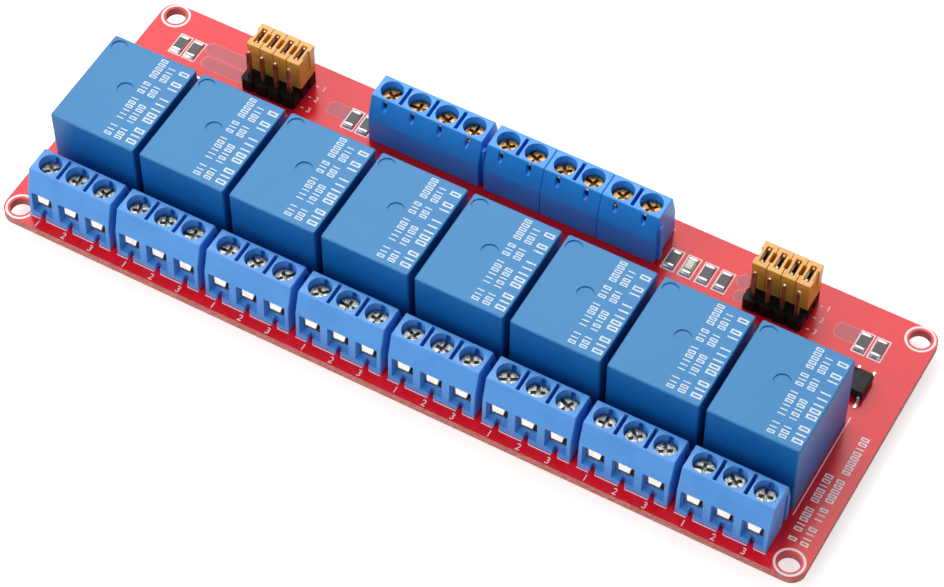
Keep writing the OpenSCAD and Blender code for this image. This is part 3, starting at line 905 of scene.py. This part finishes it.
def make_terminals():
    outputs = housing(OUTPUT_WAYS, OUTPUT_SPLIT)
    for node, place in zip(output_nodes, output_places):
        piece = copy_to(outputs, place, f"housing_of_{node}")
        fit_out(piece, finishes["output"], [node])
    supply = housing(SUPPLY_WAYS, REAR_SPLIT)
    piece = copy_to(supply, supply_place, "housing_of_supply_terminal", math.pi)
    fit_out(piece, finishes["rear"], ["supply_terminal"])
    control = housing(CONTROL_WAYS, REAR_SPLIT)
    for node, place in zip(control_nodes, control_places):
        piece = copy_to(control, place, f"housing_of_{node}", math.pi)
        fit_out(piece, finishes["rear"], [node])
    discard(outputs, supply, control)
    draw = random.Random(SCREW_SEED)
    screw = clamp_screw()
    output_blocks = [(place, OUTPUT_WAYS) for place in output_places]
    fronts = join(turned_screws(screw, output_blocks, draw), "zinc_clamp_screws")
    rears = join(turned_screws(screw, rear_blocks, draw), "brass_clamp_screws")
    discard(screw)
    fit_out(fronts, finishes["zinc"], ["output_screws"])
    fit_out(rears, finishes["brass"], ["rear_screws"])


# ---------- jumper caps ----------

def jumper_cap():
    """Cap with waisted sides, a rim round the top, a slot in the roof and an open underside."""
    half_w, half_l = CAP_W / 2, CAP_L / 2
    cap = block((-half_w, -half_l, 0), (half_w, half_l, CAP_H))
    waist_y = WAIST_L / 2
    rim_z = CAP_H - CAP_RIM
    past_x = 2
    cutters = []
    for side in (-1, 1):
        x = side * half_w
        low = (x - CAP_WAIST, -waist_y, WAIST_FROM)
        cutters.append(block(low, (x + CAP_WAIST, waist_y, CAP_H + PAST)))
        y = side * half_l
        cutters.append(block((-past_x, y - CAP_STEP, -PAST), (past_x, y + CAP_STEP, rim_z)))
    combine(cap, cutters)
    soften(cap, 0.1, 2)
    pocket_x, pocket_y = POCKET_W / 2, POCKET_L / 2
    slot_x, slot_y = ROOF_SLOT_W / 2, ROOF_SLOT_L / 2
    hollow = [
        block((-pocket_x, -pocket_y, -PAST), (pocket_x, pocket_y, CAP_H - CAP_ROOF)),
        block((-slot_x, -slot_y, 0), (slot_x, slot_y, CAP_H + PAST)),
    ]
    combine(cap, hollow)
    return smooth(cap)


def make_caps():
    cap = jumper_cap()
    for number in range(1, CAPS + 1):
        node = f"jumper_cap_{number}"
        low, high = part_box(node)
        place = Vector(((low.x + high.x) / 2, (low.y + high.y) / 2, low.z))
        piece = copy_to(cap, place, f"grip_of_{node}")
        fit_out(piece, finishes["amber"], [node])
    discard(cap)


# ---------- surface-mounted parts ----------

HEADER_Y = middle("header_left").y
PRINTED_Y = HEADER_Y - PRINTED_BELOW * MM
RELAY_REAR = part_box(relay_nodes[0])[1].y
SUPPLY_LEFT = supply_place.x - block_width(SUPPLY_WAYS) / 2 * MM
CONTROL_RIGHT = control_places[-1].x + block_width(CONTROL_WAYS) / 2 * MM


def printed_boxes(x, offsets):
    """Places of the printed boxes that stand in a row."""
    return [Vector((x + offset * MM, PRINTED_Y, BOARD_TOP)) for offset in offsets]


def in_channels(dx, dy):
    """One place behind each relay, from the middle of its rear face."""
    return [
        Vector((place.x + dx * MM, RELAY_REAR + dy * MM, BOARD_TOP)) for place in relay_places
    ]


printed_resistors = (
    printed_boxes(relay_places[0].x - 5.7 * MM, (0, PRINTED_PITCH))
    + printed_boxes(SUPPLY_LEFT - 1.65 * MM, (-PRINTED_PITCH, 0))
    + printed_boxes(CONTROL_RIGHT + 2.4 * MM, (0, 6, 9))
    + printed_boxes(relay_places[-1].x + 3.9 * MM, (0, PRINTED_PITCH))
)
printed_lamps = printed_boxes(CONTROL_RIGHT + 2.4 * MM, (3,))
lamp_places = printed_lamps + in_channels(-2.7, 7.7)
resistor_places = (
    printed_resistors
    + in_channels(-5.9, 7.7)
    + in_channels(0.6, 7.7)
    + in_channels(3.6, 3.5)
)


def chip_core(height):
    """Body of a chip part between its tinned ends."""
    core = CHIP_L / 2 - CHIP_END
    piece = block((-CHIP_W / 2, -core, 0), (CHIP_W / 2, core, height))
    return smooth(soften(piece, 0.05, 2))


def lamp_core():
    """Lamp body: a flat carrier with a lens block that narrows towards its top."""
    half_w, core = CHIP_W / 2, CHIP_L / 2 - CHIP_END
    narrow = 0.84
    carrier = block((-half_w, -core, 0), (half_w, core, CARRIER_H))
    lens_low = (-half_w + 0.1, -core + 0.05, CARRIER_H - 0.05)
    lens = block(lens_low, (half_w - 0.1, core - 0.05, LAMP_H))
    scale_faces(lens, looks_up, (narrow, narrow, 1), (0, 0, LAMP_H))
    combine(carrier, [soften(lens, 0.1, 3)], "UNION")
    return smooth(soften(carrier, 0.03, 2, 50))


def chip_end_caps():
    """Both tinned ends of a chip part, each with its sloped solder fillet."""
    half_w, foot_h = CHIP_W / 2, 0.4
    foot_w, foot_in, foot_out = half_w + 0.05, 0.1, 0.35
    ends = []
    for side in (-1, 1):
        y_in, y_out = side * (CHIP_L / 2 - CHIP_END), side * CHIP_L / 2
        low, high = sorted((y_in, y_out))
        end = block((-half_w, low, 0), (half_w, high, CHIP_H))
        ends.append(soften(end, 0.07, 2))

        def outer_top(at, way):
            return at.z > 0.35 and abs(way.x) > 0.9 and side * at.y > CHIP_L / 2

        low, high = sorted((y_out - side * foot_in, y_out + side * foot_out))
        foot = block((-foot_w, low, 0), (foot_w, high, foot_h))
        choose(foot, outer_top, "EDGE")
        bpy.ops.transform.translate(value=mm(0, -side * 0.04, -0.34))
        object_mode()
        ends.append(soften(foot, 0.05, 2, 40))
    return smooth(outward(join(ends, "ends")), 50)


def moulded_package(length, width, height, mark_r=None):
    """Resin package, drafted above and below its parting line, with an optional round mark."""
    top = STAND_OFF + height
    body = block((-width / 2, -length / 2, STAND_OFF), (width / 2, length / 2, top))
    ring_cut(body, STAND_OFF + height / 2)
    narrow = (1 - DRAFT / width, 1 - DRAFT / length, 1)
    scale_faces(body, looks_down, narrow, (0, 0, STAND_OFF))
    scale_faces(body, looks_up, narrow, (0, 0, top))
    soften(body, 0.08, 2, 40)
    if mark_r:
        mark_x, mark_y = -width / 2 + 0.85, length / 2 - 0.85
        combine(body, [drum(mark_r, top - 0.08, top + PAST, mark_x, mark_y, 24)])
    return smooth(body)


def scatter(piece, places, name, finish, slot, node, turn=0.0):
    """One piece made of copies at many places; the pattern itself is used up."""
    copies = [copy_to(piece, place, turn=turn) for place in places]
    discard(piece)
    fit_out(join(copies, name), finishes[finish], [node])


def make_board_parts():
    metal, black = "chip_metal", "chip_black"
    parts = (
        (chip_core(CHIP_H), resistor_places, "resistor_cores", "chip", black, "resistor_bodies"),
        (chip_end_caps(), resistor_places, "resistor_end_caps", "solder", metal, "resistor_ends"),
        (lamp_core(), lamp_places, "lamp_lenses", "lamp", "lamp", "lamp_bodies"),
        (chip_end_caps(), lamp_places, "lamp_end_caps", "solder", metal, "lamp_ends"),
    )
    for part in parts:
        scatter(*part)
    coupler = moulded_package(4.4, 3.6, 2, 0.4)
    places = in_channels(6.6, 6.1)
    scatter(coupler, places, "coupler_packages", "epoxy", black, "optocoupler_bodies")
    transistor = moulded_package(1.3, 2.9, 1)
    places = in_channels(1, 3.1)
    scatter(transistor, places, "transistor_packages", "epoxy", black, "transistor_bodies")
    diode = moulded_package(4.3, 2.6, 2.1)
    places = in_channels(-4.2, 3.1)
    scatter(diode, places, "diode_packages", "diode", black, "diode_bodies", math.pi / 2)


# ---------- board print ----------

def outline(x_low, y_low, x_high, y_high, line):
    """A rectangle drawn with a line of this width."""
    return [
        bar(x_low, y_low, x_high, y_low + line),
        bar(x_low, y_high - line, x_high, y_high),
        bar(x_low, y_low + line, x_low + line, y_high - line),
        bar(x_high - line, y_low + line, x_high, y_high - line),
    ]


def hole_ring(inner, outer):
    """Flat printed ring."""
    only(None)
    bpy.ops.mesh.primitive_circle_add(vertices=64, radius=outer * MM, fill_type="NGON")
    ring = settle(bpy.context.object, "ring")
    choose_all(ring)
    bpy.ops.mesh.inset(thickness=(outer - inner) * MM)
    bpy.ops.mesh.delete(type="FACE")
    bpy.ops.mesh.select_all(action="SELECT")
    bpy.ops.mesh.extrude_region_move(TRANSFORM_OT_translate={"value": UP * INK * MM})
    object_mode()
    return outward(ring)


def numeral(text, height, x, y, turn=0.0):
    """A plain number, laid flat on the board."""
    only(None)
    bpy.ops.object.text_add(location=mm(x, y, 0), rotation=(0, 0, turn))
    piece = bpy.context.object
    piece.data.body = text
    piece.data.size = height * NUMERAL_SCALE * MM
    piece.data.align_x = "CENTER"
    piece.data.align_y = "CENTER"
    piece.data.extrude = INK / 2 * MM
    piece.data.resolution_u = 3
    only(piece)
    bpy.ops.object.convert(target="MESH")
    return outward(settle(piece, "numeral"))


def terminal_print(x, y):
    """Front line of a terminal's printed outline, broken at each notch, with its numbers."""
    half, line = block_width(OUTPUT_WAYS) / 2, PRINT_LINE
    notch, hook_l = 0.6, 0.75
    front = y - TERM_FRONT - line
    edges = [x - half]
    for offset in way_offsets(OUTPUT_WAYS):
        edges += [x + offset - notch, x + offset + notch]
    edges.append(x + half)
    marks = [
        bar(left, front - line / 2, right, front + line / 2)
        for left, right in zip(edges[::2], edges[1::2])
    ]
    for offset in way_offsets(OUTPUT_WAYS):
        hook = x + offset + notch - line
        marks.append(bar(hook, front + line / 2, hook + line, front + hook_l))
    for count, offset in enumerate(way_offsets(OUTPUT_WAYS)):
        marks.append(numeral(str(count + 1), OUTPUT_NUMERAL, x + offset - 0.5, front - 1.15))
    return marks


def in_mm(place):
    """X and Y of a place, in millimetres."""
    return place.x / MM, place.y / MM


def rear_print(x, y, ways):
    """Rear line of a terminal's printed outline, with numbers that are read from behind."""
    half = block_width(ways) / 2
    rear = y + TERM_FRONT + 0.2
    marks = [bar(x - half, rear - PRINT_LINE / 2, x + half, rear + PRINT_LINE / 2)]
    for count, offset in enumerate(way_offsets(ways)):
        marks.append(numeral(str(count), SMALL_NUMERAL, x + offset, rear + 0.95, math.pi))
    return marks


def header_print(node):
    """A dash and a number at the right end of each row of a header."""
    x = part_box(node)[1].x / MM + 0.6
    marks = []
    for row in (-1, 0, 1):
        y = HEADER_Y / MM + row * PIN_PITCH
        marks.append(bar(x, y - 0.1, x + 0.5, y + 0.1))
        marks.append(numeral(str(2 - row), SMALL_NUMERAL, x + 1.5, y))
    return marks


def make_print():
    marks = []
    for place in output_places:
        marks += terminal_print(*in_mm(place))
    for place, ways in rear_blocks:
        marks += rear_print(*in_mm(place), ways)
    for place in printed_resistors + printed_lamps:
        x, y = in_mm(place)
        box = (x - BOX_HALF_W, y - BOX_HALF_L, x + BOX_HALF_W, y + BOX_HALF_L)
        marks += outline(*box, BOX_LINE)
    x, y = in_mm(relay_places[-1])
    marks.append(bar(x + 8.1, y - 10.2, x + 8.28, y + 10))
    for node in ("header_left", "header_right"):
        marks += header_print(node)
    ink = join(marks, "board_print")
    end_x = board_high.x / MM
    rows = (
        (end_x - 4.25, 1.3, 0.97, -19.8, -6.2, (1, 7)),
        (end_x - 2.25, 1.3, 0.97, -19.9, 2.6, (4, 8, 14)),
    )
    title = dashes("title", rows, BOARD_PRINT_SEED)
    for piece in (ink, title):
        piece.data.transform(Matrix.Translation(UP * BOARD_TOP))
    ring = hole_ring(RING_INNER_R, RING_OUTER_R)
    rings = [
        copy_to(ring, Vector((side * HOLE_X, end * HOLE_Y, BOARD_TOP)))
        for side in (-1, 1)
        for end in (-1, 1)
    ]
    discard(ring)
    fit_out(join([ink, title] + rings, "board_print"), finishes["ink"])


def copper_field(x_low, y_low, x_high, y_high, thickness):
    """A flat field with its corners cut off."""
    field = block((x_low, y_low, 0), (x_high, y_high, thickness))
    bevel(field, runs_upright, FIELD_CORNER, 1)
    return field


def make_pours():
    """Copper areas beside the headers that show through the mask, each with a paler edge."""
    header_y = HEADER_Y / MM
    areas = []
    for node, before, after in (("header_left", 9.6, 6.2), ("header_right", 2.8, 4.6)):
        low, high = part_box(node)
        left, right = low.x / MM, high.x / MM
        areas += [
            (left - before, header_y - 0.2, left - 0.3, header_y + 2.2),
            (left - before + 0.8, header_y - 3.0, left - 0.3, header_y - 0.7),
            (right + 4.6, header_y - 1.5, right + 4.6 + after, header_y + 1.3),
        ]
    line = FIELD_EDGE_W
    edges = [
        copper_field(x_low - line, y_low - line, x_high + line, y_high + line, FIELD_EDGE_H)
        for x_low, y_low, x_high, y_high in areas
    ]
    fields = [copper_field(*area, FIELD_H) for area in areas]
    for pieces, name, finish in (
        (edges, "copper_edges", "track"),
        (fields, "copper_fields", "poured"),
    ):
        joined = join(pieces, name)
        joined.data.transform(Matrix.Translation(UP * BOARD_TOP))
        fit_out(joined, finishes[finish])


# ---------- CAD nodes that stay ----------

KEPT = {
    "circuit_board": "mask",
    "relay_bases": "base",
    "relay_coils": "wire",
    "relay_yokes": "iron",
    "relay_armatures": "spring",
    "relay_contacts": "contact",
    "relay_coil_pins": "tin",
    "output_clamps": "tin",
    "output_guards": "guard",
    "rear_clamps": "tin",
    "rear_guards": "guard",
    "header_left": "header",
    "header_right": "header",
    "header_pins": "gold",
    "jumper_clips": "clip",
    "solder_joints": "solder",
    "optocoupler_leads": "tin",
    "transistor_leads": "tin",
    "diode_leads": "tin",
}


def dress_kept_nodes():
    for node, finish in KEPT.items():
        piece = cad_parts[node]
        piece.data.materials.clear()
        piece.data.materials.append(finishes[finish])


# ---------- studio ----------

def make_camera():
    """Long lens that looks down on the board from its front right."""
    azimuth, elevation, roll = (math.radians(angle) for angle in (29.5, 53.64, -0.27))
    distance = 0.5076
    target = mm(3.24, -3.04, 1.6)
    data = bpy.data.cameras.new("camera")
    data.lens = 122.7
    data.sensor_width = 36
    data.clip_start, data.clip_end = 0.02, 10
    camera = bpy.data.objects.new("camera", data)
    bpy.context.scene.collection.objects.link(camera)
    back = Vector(
        (
            math.sin(azimuth) * math.cos(elevation),
            -math.cos(azimuth) * math.cos(elevation),
            math.sin(elevation),
        )
    )
    camera.location = target + back * distance
    aim = (-back).to_track_quat("-Z", "Y").to_matrix().to_4x4() @ Matrix.Rotation(roll, 4, "Z")
    camera.rotation_euler = aim.to_euler()
    bpy.context.scene.camera = camera


def softbox(name, place, size, radiance):
    """Area lamp that looks at the board's middle, with the radiance that its face shows."""
    data = bpy.data.lights.new(name, "AREA")
    data.shape = "RECTANGLE"
    data.size, data.size_y = size
    data.energy = radiance * math.pi * size[0] * size[1]
    lamp = bpy.data.objects.new(name, data)
    lamp.location = place
    lamp.rotation_euler = (-Vector(place)).to_track_quat("-Z", "Y").to_euler()
    bpy.context.scene.collection.objects.link(lamp)


def seen_directly(tree):
    """1 for camera, glossy and transmission rays."""
    paths = tree.nodes.new("ShaderNodeLightPath")
    total = paths.outputs["Is Camera Ray"]
    for name in ("Is Glossy Ray", "Is Transmission Ray"):
        step = tree.nodes.new("ShaderNodeMath")
        step.operation = "MAXIMUM"
        tree.links.new(total, step.inputs[0])
        tree.links.new(paths.outputs[name], step.inputs[1])
        total = step.outputs[0]
    return total


def make_world():
    """White for the camera and in reflections, and a faint fill light on the board."""
    fill_strength, white_strength = 0.2, 1.0
    world = bpy.data.worlds.new("studio")
    world.use_nodes = True
    bpy.context.scene.world = world
    tree = world.node_tree
    fill = tree.nodes["Background"]
    fill.inputs["Color"].default_value = (1, 1, 1, 1)
    fill.inputs["Strength"].default_value = fill_strength
    white = tree.nodes.new("ShaderNodeBackground")
    white.inputs["Color"].default_value = (1, 1, 1, 1)
    white.inputs["Strength"].default_value = white_strength
    choice = tree.nodes.new("ShaderNodeMixShader")
    tree.links.new(seen_directly(tree), choice.inputs["Fac"])
    tree.links.new(fill.outputs[0], choice.inputs[1])
    tree.links.new(white.outputs[0], choice.inputs[2])
    tree.links.new(choice.outputs[0], tree.nodes["World Output"].inputs["Surface"])


def make_floor():
    """Pale floor that keeps the object's shadow and is lifted to white for the camera."""
    grey, glow_strength = 0.62, 0.66
    only(None)
    bpy.ops.mesh.primitive_plane_add(size=4, location=(0, 0, cad_box[0].z))
    floor = settle(bpy.context.object, "floor")
    material = bpy.data.materials.new("pale floor")
    material.use_nodes = True
    tree = material.node_tree
    shader = tree.nodes["Principled BSDF"]
    shader.inputs["Base Color"].default_value = (grey, grey, grey, 1)
    shader.inputs["Roughness"].default_value = 0.9
    shader.inputs["Specular IOR Level"].default_value = 0.1
    glow = tree.nodes.new("ShaderNodeEmission")
    lift = tree.nodes.new("ShaderNodeMath")
    lift.operation = "MULTIPLY"
    lift.inputs[1].default_value = glow_strength
    tree.links.new(seen_directly(tree), lift.inputs[0])
    tree.links.new(lift.outputs[0], glow.inputs["Strength"])
    both = tree.nodes.new("ShaderNodeAddShader")
    tree.links.new(shader.outputs[0], both.inputs[0])
    tree.links.new(glow.outputs[0], both.inputs[1])
    tree.links.new(both.outputs[0], tree.nodes["Material Output"].inputs["Surface"])
    floor.data.materials.append(material)


def make_studio():
    make_camera()
    make_world()
    make_floor()
    softbox("back softbox", (-0.3, 0.54, 0.78), (0.7, 0.7), 4.2)
    softbox("front softbox", (-0.35, -0.5, 0.38), (0.8, 0.6), 2.35)
    softbox("side softbox", (0.7, -0.25, 0.35), (0.5, 0.4), 1.2)
    bpy.context.scene.view_settings.view_transform = "Standard"


make_studio()
dress_kept_nodes()
make_relays()
make_terminals()
make_caps()
make_board_parts()
make_print()
make_pours()
